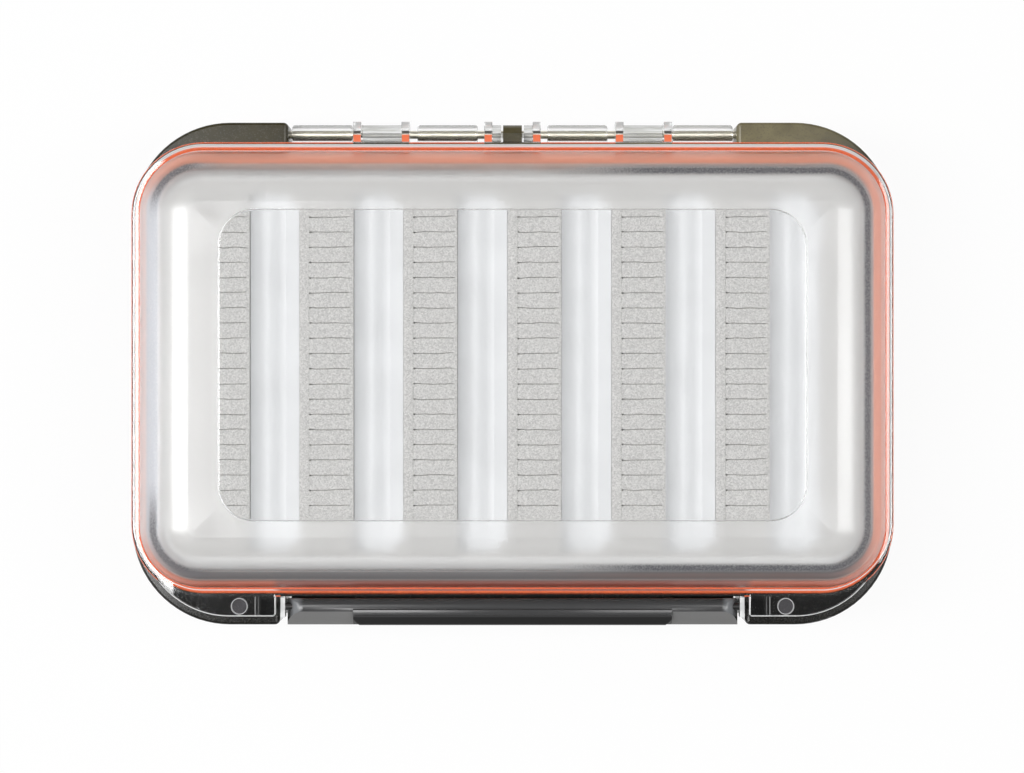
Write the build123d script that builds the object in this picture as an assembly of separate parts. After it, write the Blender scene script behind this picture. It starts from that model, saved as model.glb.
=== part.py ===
from build123d import *
from math import hypot
import os

# A double-sided waterproof fly box, in millimetres: X along the case, +Y towards the hinge, +Z up.
# The origin is at the bottom centre: the closed case rests on the lower lid's window.
# Everything of the upper side is built once and mirrored about the middle plane for the lower side.

# ---------------------------------------------------------------- the whole case
case_length = 152.6
case_depth = 100.8          # latch face to hinge side
case_height = 42.0          # over both windows
case_corner = 19.6          # corner radius of the frame, seen from above

# ---------------------------------------------------------------- middle frame
frame_height = 12.4
rim_width = 5.8             # from the lid's outline in to the tray well
rim_edge_round = 0.5
partition_thickness = 1.5
latch_notch_length = 93.4   # between the front corner blocks
hinge_notch_length = 90.0   # between the rear corner blocks
centre_lug_width = 3.8
catch_height = 1.3          # ledge on the frame's front that the latch's hook lies under
catch_above_middle = 2.8
catch_reach = 2.4
notch_corner_round = 1.0
pocket_length = 2.4         # square pocket in each front corner block
pocket_depth = 4.0
pocket_width = 3.0
pocket_inset = 2.5          # from the block's end to the pocket's middle
pocket_setback = 0.6        # in front of the lid's edge
crease_width = 0.5          # shallow crease across each front corner block
crease_depth = 0.3
crease_inset = 4.8          # from the block's end

# ---------------------------------------------------------------- lids
lid_corner = 14.4
lid_rear_setback = 4.1      # lid's rear edge in from the case's rear
lid_front_setback = 5.7     # lid's front edge in from the case's front
seam_gap = 0.3              # between the frame's rim and the lid
flange_thickness = 2.0
flange_edge_round = 0.5
dome_inset = 2.0            # from the lid's outline in to the dome's foot
dome_shoulder = 10.5        # radius from the dome's wall to its flat top
dome_foot_round = 0.6
lid_wall = 2.0
window_side_inset = 18.45   # from the lid's outline in to the window
window_rear_inset = 14.05
window_front_inset = 15.65
window_corner = 7.2
window_rise = 0.4
window_edge_land = 0.02     # straight foot of the window's rounded edge
plate_margin = 1.8          # front corner plate in from the corner block's edge
plate_end_inset = 0.7       # plate's end beyond the block's end
plate_corner_round = 0.6
plate_edge_round = 0.3
plate_mark_radius = 1.65    # round ejector mark on the plate
plate_mark_depth = 0.15
plate_mark_inset = 8.0      # from the block's end to the mark's middle
plate_mark_forward = 1.9    # in front of the lid's edge

# ---------------------------------------------------------------- hinge
pin_radius = 0.8
pin_setback = 2.0           # pin's axis in from the case's rear
pin_seat = 3.0              # length of pin held in the left rear corner block
pin_long_seat = 17.0        # length of pin in the right one, through which it is pushed in
running_clearance = 0.05
knuckle_radius = 1.95
knuckle_end_round = 0.5
upper_group_count = 3
upper_group_length = 11.3
group_cheek = 1.6
group_side_gap = 1.375      # between a group and a lower barrel, along the pin
end_barrel_gap = 0.45       # on each side of the two outer lower barrels
lug_gap = 0.4               # around the frame's centre lug
arm_thickness = 1.6

# ---------------------------------------------------------------- latches
latch_end_gap = 0.3         # between the latch and its cheeks, and the cheeks and the frame
latch_pin_radius = 0.75
latch_barrel_radius = 1.7
latch_pin_forward = 2.0     # pin's axis in front of the lid's edge
latch_pin_rise = 0.5        # pin's axis above the lid's underside
latch_cheek = 0.9
latch_cheek_drop = 1.7      # cheek below the lid's underside
latch_cheek_forward = 2.1   # cheek in front of the pin's axis
latch_lever_thickness = 1.5
latch_foot = 1.4            # latch's lower edge above the middle plane
latch_top_land = 0.9        # flat in front of the pin's axis
latch_slope_drop = 3.1      # height of the sloping flats
latch_haunch_drop = 0.4     # lever's inner corner below the barrel
latch_end_round = 3.4
grip_inset = 13.3           # grip's end in from the latch's end
grip_end_chamfer = 1.2
grip_start = 0.3            # grip's rear edge in front of the pin's axis
grip_rise = 0.3             # grip's roll above the latch's top
grip_roll = 0.9             # depth of the roll's flat top
grip_edge = 0.4             # bevel of the grip's front lip
grip_lip = 1.2              # lip's edge below the latch's top
grip_lip_height = 2.5
hook_height = 1.0
hook_clearance = 0.2
swing_clearance = 0.1       # between the swinging grip and the lid's edge

# ---------------------------------------------------------------- seals
seal_inset = 0.6            # from the lid's outline
seal_width = 3.4
seal_groove_depth = 1.2
seal_side_clearance = 0.05
seal_base_thickness = 0.9
seal_bead_width = 1.4
seal_air = 0.1              # between the bead and the closed lid

# ---------------------------------------------------------------- tray and foam
tray_clearance = 0.3        # around the tray and the foam in the well
tray_base_thickness = 1.15
foam_recess = 0.2           # foam's top below the rim
strip_count = 6
strip_width = 8.9
foam_bar_width = 1.95       # foam between one channel and the next strip
foam_side_margin = 8.53     # foam outside the first strip and the last channel
foam_rear_margin = 5.0      # foam behind the strips and the channels
strip_front_margin = 1.0
channel_front_margin = 3.2
channel_corner = 2.4
insert_clearance = 0.05     # between strips, channels and the foam sheet
channel_land_recess = 0.6   # channel's raised land below the foam's top
channel_left_rise = 1.1     # channel's edge beside the strip, above the tray's base
channel_low_rise = 0.4      # deepest line of the channel, above the tray's base
channel_low_at = 2.8        # its distance from the strip
channel_bend_at = 5.4
channel_bend_rise = 2.0
channel_land_at = 7.3
channel_shoulder = 0.7      # share of the last rise reached halfway along it
slit_pitch = 3.046
slit_width = 0.25
slit_depth = 3.2
slit_rear_margin = 3.8      # from the strip's rear end to the first slit
slit_front_margin = 1.9     # least foam in front of the last slit

# ---------------------------------------------------------------- heights and places that follow
middle_z = case_height / 2
rim_z = middle_z + frame_height / 2
lid_under_z = rim_z + seam_gap
flange_top_z = lid_under_z + flange_thickness
dome_top_z = case_height - window_rise
partition_top_z = middle_z + partition_thickness / 2
tray_base_z = partition_top_z + tray_base_thickness
foam_top_z = rim_z - foam_recess

case_rear = case_depth / 2
case_front = -case_depth / 2
lid_rear = case_rear - lid_rear_setback
lid_front = case_front + lid_front_setback
lid_depth = lid_rear - lid_front
lid_y = (lid_rear + lid_front) / 2
window_rear = lid_rear - window_rear_inset
window_front = lid_front + window_front_inset
window_edge_round = window_rise - window_edge_land

pin_y = case_rear - pin_setback
group_lengths = upper_group_count * upper_group_length
side_gaps = 2 * (upper_group_count - 1) * group_side_gap + 4 * end_barrel_gap
lower_barrel_length = (hinge_notch_length - group_lengths - side_gaps) / (upper_group_count + 1)
upper_group_pitch = upper_group_length + lower_barrel_length + 2 * group_side_gap

latch_pin_y = lid_front - latch_pin_forward
latch_pin_z = lid_under_z + latch_pin_rise
latch_cheek_end = latch_notch_length / 2 - latch_end_gap
latch_end = latch_cheek_end - latch_cheek - latch_end_gap
grip_end = latch_end - grip_inset   # the hook and the catch ledge end here too
grip_swing = hypot(grip_start + grip_rise + grip_roll, latch_barrel_radius + grip_rise)

sheet_inset = rim_width + tray_clearance
sheet_left = sheet_inset - case_length / 2
sheet_rear = lid_rear - sheet_inset
sheet_front = lid_front + sheet_inset
insert_span = case_length - 2 * sheet_inset - 2 * foam_side_margin
strip_pitch = (insert_span + foam_bar_width) / strip_count
channel_width = strip_pitch - strip_width - foam_bar_width
insert_rear = sheet_rear - foam_rear_margin
strip_front = sheet_front + strip_front_margin
channel_front = sheet_front + channel_front_margin
slit_rear = insert_rear - slit_rear_margin
slit_count = 1 + int((slit_rear - strip_front - slit_front_margin) / slit_pitch)

above = 1.0                 # how far a cut runs past the face it opens
root = 1.0                  # how far an added block is let into the wall that carries it


# ---------------------------------------------------------------- helpers
def slab(length, depth, radius, low, high, centre_y=0.0):
    """A block with rounded corners between two heights."""
    outline = Plane((0, centre_y, low)) * RectangleRounded(length, depth, radius)
    return extrude(outline, high - low)


def lid_slab(inset, low, high):
    """A block that follows the lid's outline, set in from it."""
    return slab(case_length - 2 * inset, lid_depth - 2 * inset, lid_corner - inset, low, high, lid_y)


def block(left, right, front, rear, low, high):
    """A box between two corners."""
    centre = Pos((left + right) / 2, (front + rear) / 2, (low + high) / 2)
    return centre * Box(right - left, rear - front, high - low)


def rod(radius, left, right, y, z):
    """A round bar along X."""
    return Pos((left + right) / 2, y, z) * Rot(0, 90, 0) * Cylinder(radius, right - left)


def bar(points, left, right):
    """A bar along X with the given (y, z) section."""
    section = Plane.YZ.offset(left) * make_face(Polyline(*points, close=True))
    return extrude(section, right - left)


def top_edges(shape):
    return shape.edges().group_by(Axis.Z)[-1]


def lower_side(shape):
    """The same shape on the other side of the middle plane."""
    return mirror(shape, about=Plane.XY.offset(middle_z))


def both_sides(shape):
    """The shape and its mirror image below the middle plane."""
    return shape + lower_side(shape)


def strip_left(index):
    return sheet_left + foam_side_margin + index * strip_pitch


# ---------------------------------------------------------------- middle frame
def frame_block():
    """The outline of the case, with its notches for the hinge and the latches."""
    body = slab(case_length, case_depth, case_corner, rim_z - frame_height, rim_z)
    rims = body.edges().group_by(Axis.Z)
    body = fillet(rims[0] + rims[-1], rim_edge_round)
    half_hinge = hinge_notch_length / 2
    half_latch = latch_notch_length / 2
    body -= block(-half_hinge, half_hinge, lid_rear, case_rear + above, 0, case_height)
    body -= block(-half_latch, half_latch, case_front - above, lid_front, 0, case_height)
    corners = [
        edge
        for edge in body.edges().filter_by(Axis.Z)
        if abs(edge.center().X) < case_length / 2 - case_corner
        and not lid_front - above < edge.center().Y < lid_rear + above
    ]
    return fillet(corners, notch_corner_round)


def seal_groove():
    outer = lid_slab(seal_inset - seal_side_clearance, rim_z - seal_groove_depth, rim_z + above)
    inner_inset = seal_inset + seal_width + seal_side_clearance
    return outer - lid_slab(inner_inset, rim_z - seal_groove_depth - above, rim_z + 2 * above)


def catch_ledge():
    low = middle_z + catch_above_middle
    return block(-grip_end, grip_end, lid_front - catch_reach, lid_front + root, low, low + catch_height)


def front_block_cuts():
    """The square pocket and the crease in each front corner block."""
    cuts = []
    for side in (-1, 1):
        pocket_x = side * (latch_notch_length / 2 + pocket_inset)
        pocket_y = lid_front - pocket_setback - pocket_width / 2
        cuts.append(Pos(pocket_x, pocket_y, rim_z) * Box(pocket_length, pocket_width, 2 * pocket_depth))
        crease_x = side * (latch_notch_length / 2 + crease_inset)
        crease_y = (lid_front + case_front) / 2
        crease_length = lid_front - case_front
        cuts.append(Pos(crease_x, crease_y, rim_z) * Box(crease_width, crease_length, 2 * crease_depth))
    return Part() + cuts


def centre_lug():
    half = centre_lug_width / 2
    link = block(-half, half, lid_rear - root, pin_y, middle_z - knuckle_radius, middle_z + knuckle_radius)
    return link + rod(knuckle_radius, -half, half, pin_y, middle_z)


def make_middle_frame():
    well = lid_slab(rim_width, partition_top_z, rim_z + above)
    upper_cuts = well + seal_groove() + front_block_cuts()
    body = frame_block() - both_sides(upper_cuts)
    body += both_sides(catch_ledge())
    body += centre_lug()
    blind_end = -hinge_notch_length / 2 - pin_seat
    return body - rod(pin_radius, blind_end, case_length / 2 + above, pin_y, middle_z)


# ---------------------------------------------------------------- lids
def lid_shell():
    """Flange, dome and window of a lid, open below."""
    flange = lid_slab(0, lid_under_z, flange_top_z)
    flange = fillet(top_edges(flange), flange_edge_round)
    dome = lid_slab(dome_inset, lid_under_z, dome_top_z)
    dome = fillet(top_edges(dome), dome_shoulder)
    shell = flange + dome
    half_length = (case_length - dome_inset) / 2
    half_depth = (lid_depth - dome_inset) / 2
    foot = [
        edge
        for edge in shell.edges().filter_by_position(Axis.Z, flange_top_z, flange_top_z)
        if all(abs(v.X) < half_length and abs(v.Y - lid_y) < half_depth for v in edge.vertices())
    ]
    shell = fillet(foot, dome_foot_round)
    window_length = case_length - 2 * window_side_inset
    window_depth = window_rear - window_front
    window_y = (window_rear + window_front) / 2
    window = slab(window_length, window_depth, window_corner, dome_top_z - root, case_height, window_y)
    shell += fillet(top_edges(window), window_edge_round)
    hollow = lid_slab(dome_inset + lid_wall, lid_under_z - above, dome_top_z - lid_wall)
    return shell - fillet(top_edges(hollow), dome_shoulder - lid_wall)


def corner_plate(side):
    """The clear plate over a front corner block, and the round ejector mark cut into it."""
    length = case_length - 2 * plate_margin
    depth = case_depth - 2 * plate_margin
    cover = slab(length, depth, case_corner - plate_margin, lid_under_z, flange_top_z)
    inner_end = side * (latch_notch_length / 2 + plate_end_inset)
    ends = sorted((inner_end, side * case_length / 2))
    cover &= block(ends[0], ends[1], case_front, lid_front + lid_corner, lid_under_z, flange_top_z)
    corner = Vector(inner_end, case_front + plate_margin, (lid_under_z + flange_top_z) / 2)
    inner_edge = cover.edges().filter_by(Axis.Z).sort_by(lambda edge: (edge.center() - corner).length)[0]
    cover = fillet(inner_edge, plate_corner_round)
    cover = fillet(top_edges(cover), plate_edge_round)
    mark_x = side * (latch_notch_length / 2 + plate_mark_inset)
    mark = Pos(mark_x, lid_front - plate_mark_forward, flange_top_z)
    return cover, mark * Cylinder(plate_mark_radius, 2 * plate_mark_depth)


def latch_cheek_wall(side):
    """The clear wall at one end of the latch, which holds the latch pin."""
    ends = sorted((side * (latch_cheek_end - latch_cheek), side * latch_cheek_end))
    front = latch_pin_y - latch_cheek_forward
    low = lid_under_z - latch_cheek_drop
    hanging = block(ends[0], ends[1], front, lid_front - seam_gap, low, flange_top_z)
    return hanging + block(ends[0], ends[1], front, lid_front + root, lid_under_z, flange_top_z)


def latch_relief():
    """The strip cut off the flange's front edge, so that the latch's grip can swing past it."""
    half = latch_end + latch_end_gap
    rear = latch_pin_y + grip_swing + swing_clearance
    return block(-half, half, latch_pin_y, rear, lid_under_z - above, flange_top_z + above)


def make_plain_lid():
    """A lid with everything but its hinge knuckles, in the upper position."""
    lid = lid_shell() - latch_relief()
    marks = []
    for side in (-1, 1):
        cover, mark = corner_plate(side)
        lid += cover - lid_slab(dome_inset, lid_under_z, flange_top_z)
        lid += latch_cheek_wall(side)
        marks.append(mark)
    return lid - marks - rod(latch_pin_radius, -latch_cheek_end, latch_cheek_end, latch_pin_y, latch_pin_z)


def knuckle(centre_x, length, web_thickness):
    """A hinge barrel and the web that carries it down from the flange."""
    left = centre_x - length / 2
    right = centre_x + length / 2
    front = pin_y - knuckle_radius
    web = block(left, right, front, front + web_thickness, middle_z, flange_top_z)
    web += block(left, right, lid_rear - root, front + web_thickness, lid_under_z, flange_top_z)
    barrel = rod(knuckle_radius, left, right, pin_y, middle_z)
    ends = barrel.edges().filter_by(GeomType.CIRCLE)
    return web + fillet(ends, knuckle_end_round)


def upper_group(centre_x):
    """One of the upper lid's hinge groups: a barrel on a thin web between two full cheeks."""
    group = knuckle(centre_x, upper_group_length, arm_thickness)
    for side in (-1, 1):
        cheek_x = centre_x + side * (upper_group_length - group_cheek) / 2
        group += knuckle(cheek_x, group_cheek, 2 * knuckle_radius)
    return group


def pin_bore():
    return rod(pin_radius + running_clearance, -case_length / 2, case_length / 2, pin_y, middle_z)


def make_upper_lid():
    lid = make_plain_lid()
    for index in range(upper_group_count):
        lid += upper_group((index - (upper_group_count - 1) / 2) * upper_group_pitch)
    half_slot = centre_lug_width / 2 + lug_gap
    slot_top = middle_z + knuckle_radius + lug_gap
    lid -= block(-half_slot, half_slot, lid_rear, case_rear, middle_z - 2 * knuckle_radius, slot_top)
    return lid - pin_bore()


def lower_barrel_centres():
    """The lower lid's barrels stand between the upper groups, and one stands at each end."""
    end = hinge_notch_length / 2 - end_barrel_gap - lower_barrel_length / 2
    between = [(index - upper_group_count / 2) * upper_group_pitch for index in range(1, upper_group_count)]
    return [-end, *between, end]


def make_lower_lid():
    lid = make_plain_lid()
    for centre_x in lower_barrel_centres():
        lid += knuckle(centre_x, lower_barrel_length, arm_thickness)
    return lower_side(lid - pin_bore())


def make_hinge_pin():
    half = hinge_notch_length / 2
    return rod(pin_radius, -half - pin_seat, half + pin_long_seat, pin_y, middle_z)


# ---------------------------------------------------------------- seals
def make_seal():
    groove_floor = rim_z - seal_groove_depth
    base_top = groove_floor + seal_base_thickness
    seal = lid_slab(seal_inset, groove_floor, base_top)
    bead_inset = seal_inset + (seal_width - seal_bead_width) / 2
    seal += lid_slab(bead_inset, groove_floor, lid_under_z - seal_air)
    seal -= lid_slab(bead_inset + seal_bead_width, base_top, lid_under_z)
    return seal - lid_slab(seal_inset + seal_width, groove_floor - above, lid_under_z)


# ---------------------------------------------------------------- latches
def latch_body():
    """The barrel and the lever in front of it, with rounded ends."""
    top = latch_pin_z + latch_barrel_radius
    barrel_bottom = latch_pin_z - latch_barrel_radius
    foot_z = middle_z + latch_foot
    lever_back = case_front + latch_lever_thickness
    section = [
        (latch_pin_y, top),
        (latch_pin_y - latch_top_land, top),
        (case_front, top - latch_slope_drop),
        (case_front, foot_z),
        (lever_back, foot_z),
        (lever_back, barrel_bottom - latch_haunch_drop),
        (latch_pin_y, barrel_bottom),
    ]
    body = bar(section, -latch_end, latch_end)
    body += rod(latch_barrel_radius, -latch_end, latch_end, latch_pin_y, latch_pin_z)
    envelope = RectangleRounded(2 * latch_end, 2 * (top - middle_z), latch_end_round)
    return body & extrude(Plane.XZ.offset(-case_rear) * Pos(0, middle_z) * envelope, case_depth)


def latch_hook():
    foot_z = middle_z + latch_foot
    hook_root = case_front + latch_lever_thickness / 2
    hook_tip = lid_front - catch_reach - hook_clearance
    return block(-grip_end, grip_end, hook_root, hook_tip, foot_z, foot_z + hook_height)


def latch_grip():
    """The raised finger grip along the middle of the latch: a roll, a slope and a lip."""
    top = latch_pin_z + latch_barrel_radius
    start = latch_pin_y - grip_start
    roll_end = start - grip_rise - grip_roll
    lip_z = top - grip_lip
    section = [
        (start, top),
        (start - grip_rise, top + grip_rise),
        (roll_end, top + grip_rise),
        (roll_end - grip_rise, top - grip_rise),
        (case_front + grip_edge, lip_z + grip_edge),
        (case_front, lip_z),
        (case_front, lip_z - grip_lip_height),
        (start, latch_pin_z - grip_start),
    ]
    grip = bar(section, -grip_end, grip_end)
    front_ends = grip.edges().filter_by(Axis.Z).group_by(Axis.Y)[0]
    return chamfer(front_ends, grip_end_chamfer)


def make_latch():
    body = latch_body() + latch_hook() + latch_grip()
    bore = rod(latch_pin_radius + running_clearance, -case_length, case_length, latch_pin_y, latch_pin_z)
    return body - bore


def make_latch_pin():
    return rod(latch_pin_radius, -latch_cheek_end, latch_cheek_end, latch_pin_y, latch_pin_z)


# ---------------------------------------------------------------- tray and foam
def channel_outline(left, width, low, clearance):
    """A channel seen from above: square beside its strip, rounded on the far side."""
    right = left + width - clearance
    front = channel_front + clearance
    rear = insert_rear - clearance
    radius = channel_corner - clearance
    edges = Polyline((right - radius, rear), (left, rear), (left, front), (right - radius, front))
    edges += RadiusArc((right - radius, front), (right, front + radius), radius)
    edges += Line((right, front + radius), (right, rear - radius))
    edges += RadiusArc((right, rear - radius), (right - radius, rear), radius)
    return Plane.XY.offset(low) * make_face(edges)


def channel_island(index):
    """A raised channel of the tray: a rounded trough beside the strip, then a flat land."""
    left = strip_left(index) + strip_width + insert_clearance
    land_z = foam_top_z - channel_land_recess
    outline = channel_outline(left, channel_width - insert_clearance, partition_top_z, insert_clearance)
    island = extrude(outline, land_z - partition_top_z)
    trough = Polyline(
        (left, tray_base_z + channel_left_rise),
        (left - above, tray_base_z + channel_left_rise),
        (left - above, land_z + above),
        (left + channel_land_at, land_z + above),
        (left + channel_land_at, land_z),
    )
    bend = (left + channel_bend_at, tray_base_z + channel_bend_rise)
    trough += ThreePointArc(
        (left, tray_base_z + channel_left_rise), (left + channel_low_at, tray_base_z + channel_low_rise), bend
    )
    rise = land_z - bend[1]
    shoulder_middle = ((bend[0] + left + channel_land_at) / 2, bend[1] + channel_shoulder * rise)
    trough += ThreePointArc(bend, shoulder_middle, (left + channel_land_at, land_z))
    cutter = extrude(Plane.XZ.offset(-case_rear) * make_face(trough), case_depth)
    return island - cutter


def make_tray():
    tray = lid_slab(sheet_inset, partition_top_z, tray_base_z)
    for index in range(strip_count):
        tray += channel_island(index)
    return tray


def strip_slot(index, clearance, low, high):
    left = strip_left(index) + clearance
    right = strip_left(index) + strip_width - clearance
    return block(left, right, strip_front + clearance, insert_rear - clearance, low, high)


def make_foam_base():
    """The foam sheet, with a slot for each strip that opens into its channel."""
    sheet = lid_slab(sheet_inset, tray_base_z, foam_top_z)
    thickness = foam_top_z - tray_base_z
    for index in range(strip_count):
        sheet -= strip_slot(index, 0, tray_base_z - above, foam_top_z + above)
        outline = channel_outline(strip_left(index) + strip_width, channel_width, tray_base_z - above, 0)
        sheet -= extrude(outline, thickness + 2 * above)
    return sheet


def make_slit_strip(index):
    """A foam strip with slits across its whole width."""
    strip = strip_slot(index, insert_clearance, tray_base_z, foam_top_z)
    middle_x = strip_left(index) + strip_width / 2
    slits = []
    for number in range(slit_count):
        y = slit_rear - number * slit_pitch
        slits.append(Pos(middle_x, y, foam_top_z) * Box(2 * strip_width, slit_width, 2 * slit_depth))
    return strip - slits


# ---------------------------------------------------------------- build and write
def build_parts():
    upper = {
        "seal": make_seal(),
        "latch": make_latch(),
        "latch_pin": make_latch_pin(),
        "tray": make_tray(),
        "foam_base": make_foam_base(),
    }
    for index in range(strip_count):
        upper[f"slit_foam_{index + 1}"] = make_slit_strip(index)
    parts = {
        "middle_frame": make_middle_frame(),
        "upper_lid": make_upper_lid(),
        "lower_lid": make_lower_lid(),
        "hinge_pin": make_hinge_pin(),
    }
    for name, shape in upper.items():
        parts[f"upper_{name}"] = shape
        parts[f"lower_{name}"] = lower_side(shape)
    return parts


os.makedirs("parts", exist_ok=True)
for part_name, part_shape in build_parts().items():
    export_step(part_shape, f"parts/{part_name}.step")
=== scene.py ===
import math

import bmesh
import bpy
from bpy.props import FloatProperty, FloatVectorProperty, IntProperty, PointerProperty
from mathutils import Matrix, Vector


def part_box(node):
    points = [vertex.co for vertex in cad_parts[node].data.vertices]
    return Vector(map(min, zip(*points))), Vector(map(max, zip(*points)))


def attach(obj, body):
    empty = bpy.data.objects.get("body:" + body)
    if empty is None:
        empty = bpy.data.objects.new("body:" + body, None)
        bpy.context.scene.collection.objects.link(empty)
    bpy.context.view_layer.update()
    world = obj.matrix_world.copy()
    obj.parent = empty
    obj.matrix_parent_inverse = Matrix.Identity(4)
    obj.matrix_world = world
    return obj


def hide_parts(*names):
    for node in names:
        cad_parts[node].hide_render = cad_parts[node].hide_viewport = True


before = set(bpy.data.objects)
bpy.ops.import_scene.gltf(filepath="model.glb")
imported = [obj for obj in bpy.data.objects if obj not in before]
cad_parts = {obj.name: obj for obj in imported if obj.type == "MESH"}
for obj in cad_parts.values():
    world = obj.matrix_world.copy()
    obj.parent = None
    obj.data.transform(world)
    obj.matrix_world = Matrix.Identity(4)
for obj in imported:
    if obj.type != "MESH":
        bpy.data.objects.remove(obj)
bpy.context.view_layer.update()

bl_info = {
    "name": "Double-sided fly box",
    "version": (1, 0, 0),
    "blender": (4, 5, 0),
    "location": "3D View > Sidebar > Fly Box",
    "description": "Dresses the two-lidded fly box: frosted lids, seals, latches, trays and slit foam",
    "category": "Object",
}

MM = 0.001
MIDDLE_Z = 21 * MM          # the case is mirrored about this height
STRIPS_PER_SIDE = 6


# ---------------------------------------------------------------- node helpers
def put(tree, kind, inputs=None, **settings):
    """Adds a node, sets its options, and fills or links its sockets."""
    node = tree.nodes.new(kind)
    for name, value in settings.items():
        setattr(node, name, value)
    for key, value in (inputs or {}).items():
        socket = node.inputs[key]
        if isinstance(value, bpy.types.NodeSocket):
            tree.links.new(value, socket)
        else:
            socket.default_value = value
    return node


def calc(tree, operation, *values, clamp=False):
    """One arithmetic step on sockets or numbers."""
    node = put(tree, "ShaderNodeMath", dict(enumerate(values)), operation=operation, use_clamp=clamp)
    return node.outputs[0]


def ramp(tree, value, start, end, low=0.0, high=1.0):
    """A smooth step from low to high while value goes from start to end."""
    limits = {0: value, 1: start, 2: end, 3: low, 4: high}
    return put(tree, "ShaderNodeMapRange", limits, interpolation_type="SMOOTHSTEP").outputs[0]


def times(tree, *values):
    """The product of several values."""
    product = values[0]
    for value in values[1:]:
        product = calc(tree, "MULTIPLY", product, value)
    return product


def largest(tree, *values):
    """The largest of several values."""
    highest = values[0]
    for value in values[1:]:
        highest = calc(tree, "MAXIMUM", highest, value)
    return highest


def rest(tree, share):
    """What a share leaves of one."""
    return calc(tree, "SUBTRACT", 1.0, share)


def off(tree, value, centre=None):
    """How far a value is from a centre, or from zero."""
    if centre is not None:
        value = calc(tree, "SUBTRACT", value, centre)
    return calc(tree, "ABSOLUTE", value)


def band(tree, value, start, end, soft=0.08):
    """One between start and end, zero outside, with a soft edge."""
    rising = ramp(tree, value, start - soft, start + soft)
    return times(tree, rising, ramp(tree, value, end + soft, end - soft))


def new_finish(name):
    """An empty material and its tree."""
    finish = bpy.data.materials.new(name)
    finish.use_nodes = True
    finish.node_tree.nodes.clear()
    return finish, finish.node_tree


def finished(finish, looks):
    """Closes a material that is one opaque surface with the given looks."""
    tree = finish.node_tree
    shader = put(tree, "ShaderNodeBsdfPrincipled", looks)
    put(tree, "ShaderNodeOutputMaterial", {"Surface": shader.outputs[0]})
    return finish


def case_place(tree):
    """The point on the case in millimetres: X, Y and the height above the middle plane."""
    place = put(tree, "ShaderNodeTexCoord").outputs["Object"]
    scaled = put(tree, "ShaderNodeVectorMath", {0: place, "Scale": 1 / MM}, operation="SCALE").outputs[0]
    split = put(tree, "ShaderNodeSeparateXYZ", {0: scaled})
    height = off(tree, split.outputs[2], MIDDLE_Z / MM)
    return scaled, split.outputs[0], split.outputs[1], height


def grain(tree, place, scale, detail=2.0, roughness=0.6):
    """Noise in cycles per millimetre."""
    looks = {"Vector": place, "Scale": scale, "Detail": detail, "Roughness": roughness}
    return put(tree, "ShaderNodeTexNoise", looks).outputs["Fac"]


def bump(tree, height, distance, strength=1.0, normal=None):
    """A bumped normal, on top of another one if it is given."""
    inputs = {"Height": height, "Distance": distance, "Strength": strength}
    if normal is not None:
        inputs["Normal"] = normal
    return put(tree, "ShaderNodeBump", inputs).outputs[0]


def tint(tree, share, first, second):
    """A colour between two, by share."""
    node = put(tree, "ShaderNodeMix", {0: share}, data_type="RGBA", clamp_factor=True)
    for index, colour in ((6, first), (7, second)):
        if isinstance(colour, bpy.types.NodeSocket):
            tree.links.new(colour, node.inputs[index])
        else:
            node.inputs[index].default_value = (*colour, 1.0)
    return node.outputs[2]


def rounded_inset(tree, x, y, half_length, half_depth, radius, centre_y):
    """How far a point lies inside a rounded rectangle, in millimetres."""
    reach_x = calc(tree, "SUBTRACT", off(tree, x), half_length - radius)
    reach_y = calc(tree, "SUBTRACT", off(tree, y, centre_y), half_depth - radius)
    corner_x = largest(tree, reach_x, 0.0)
    corner_y = largest(tree, reach_y, 0.0)
    square = calc(tree, "ADD", times(tree, corner_x, corner_x), times(tree, corner_y, corner_y))
    inner = calc(tree, "MINIMUM", largest(tree, reach_x, reach_y), 0.0)
    return calc(tree, "SUBTRACT", radius, calc(tree, "ADD", calc(tree, "SQRT", square), inner))


# ---------------------------------------------------------------- what a user may change
COLOUR = {"size": 3, "min": 0, "max": 1, "subtype": "COLOR"}
SHARE = {"min": 0, "max": 1, "subtype": "FACTOR"}
LENGTH = {"unit": "LENGTH", "precision": 5}
POWER = {"min": 0, "max": 100, "unit": "POWER"}


class FlyBoxLidLook(bpy.types.PropertyGroup):
    frost_roughness: FloatProperty(
        name="Frost roughness", description="Roughness of the frosted dome", default=0.3, **SHARE
    )
    frost_haze: FloatProperty(
        name="Frost haze", description="Share of light the frosted dome scatters", default=0.03, **SHARE
    )
    polish_roughness: FloatProperty(
        name="Polish roughness", description="Roughness of the window and the flange", default=0.012, **SHARE
    )
    # Colour of the seal's painted reflection on the dome's steep wall.
    seal_reflection_colour: FloatVectorProperty(
        name="Wall colour",
        description="Tint that the dome's steep wall takes up from the seal below it",
        default=(0.97, 0.40, 0.26),
        **COLOUR,
    )
    # Strength of the painted highlights on the front plates' edges.
    edge_white: FloatProperty(
        name="Edge white", description="How white the moulded plates' worn edges look", default=1.0, **SHARE
    )
    clear_colour: FloatVectorProperty(
        name="Clear colour", description="Tint of the clear plastic", default=(0.995, 1.0, 1.0), **COLOUR
    )


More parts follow.
